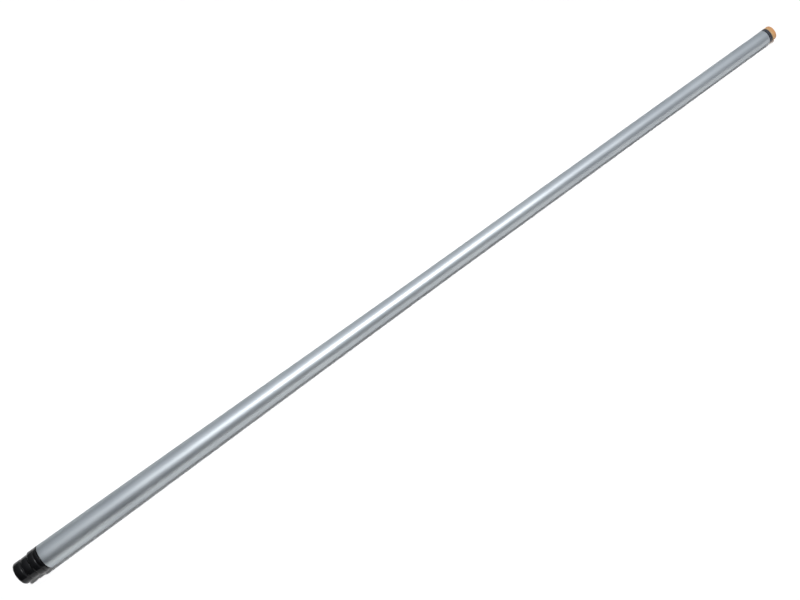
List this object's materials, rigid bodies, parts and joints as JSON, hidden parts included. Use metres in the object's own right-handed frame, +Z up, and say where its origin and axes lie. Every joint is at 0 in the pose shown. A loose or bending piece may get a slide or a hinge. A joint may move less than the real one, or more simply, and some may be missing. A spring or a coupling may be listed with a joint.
{
  "type": "cue shaft",
  "caption": "Tapered tube shaft of a two-piece cue, with a domed leather tip, a flush joint collar and a screw-in joint protector.",
  "frame": {"origin": "half way along the whole object, at the height of the surface that its joint collar lies on", "axes": "+X along the shaft's axis towards the leather tip, +Z up, away from the surface it lies on"},
  "size_m": [0.7502, 0.0208, 0.0207],
  "materials": {
    "shaft_aluminium": "satin, anodised",
    "core_foam": "rigid closed-cell foam",
    "tip_plastic": "turned, satin",
    "pad_fibre": "vulcanised fibre, matt",
    "tip_leather": "pressed leather, sanded side",
    "joint_resin": "polished black",
    "plug_maple": "turned, sealed",
    "insert_brass": "turned",
    "washer_rubber": "matt",
    "stud_steel": "turned, bright"
  },
  "bodies": {
    "shaft": {"shaft_tube": "shaft_aluminium", "damping_core": "core_foam", "tip_plug": "tip_plastic", "tip_pad": "pad_fibre", "leather_tip": "tip_leather", "trim_ring": "joint_resin", "joint_collar": "joint_resin", "joint_plug": "plug_maple", "thread_insert": "insert_brass"},
    "washer": {"protector_washer": "washer_rubber"},
    "protector": {"protector_cap": "joint_resin", "protector_stud": "stud_steel"}
  },
  "joints": [
    {"name": "protector_travel", "type": "slide", "parent": "shaft", "child": "washer", "axis": [-1, 0, 0], "range_m": [0, 0.01525]},
    {"name": "protector_unscrew", "type": "hinge", "parent": "washer", "child": "protector", "pos_m": [-0.3615, 0, 0.01038], "axis": [-1, 0, 0], "range_deg": [0, 2160]}
  ],
  "couplings": [
    {"joint": "protector_travel", "follows": "protector_unscrew", "m_per_rad": 0.00040425}
  ]
}
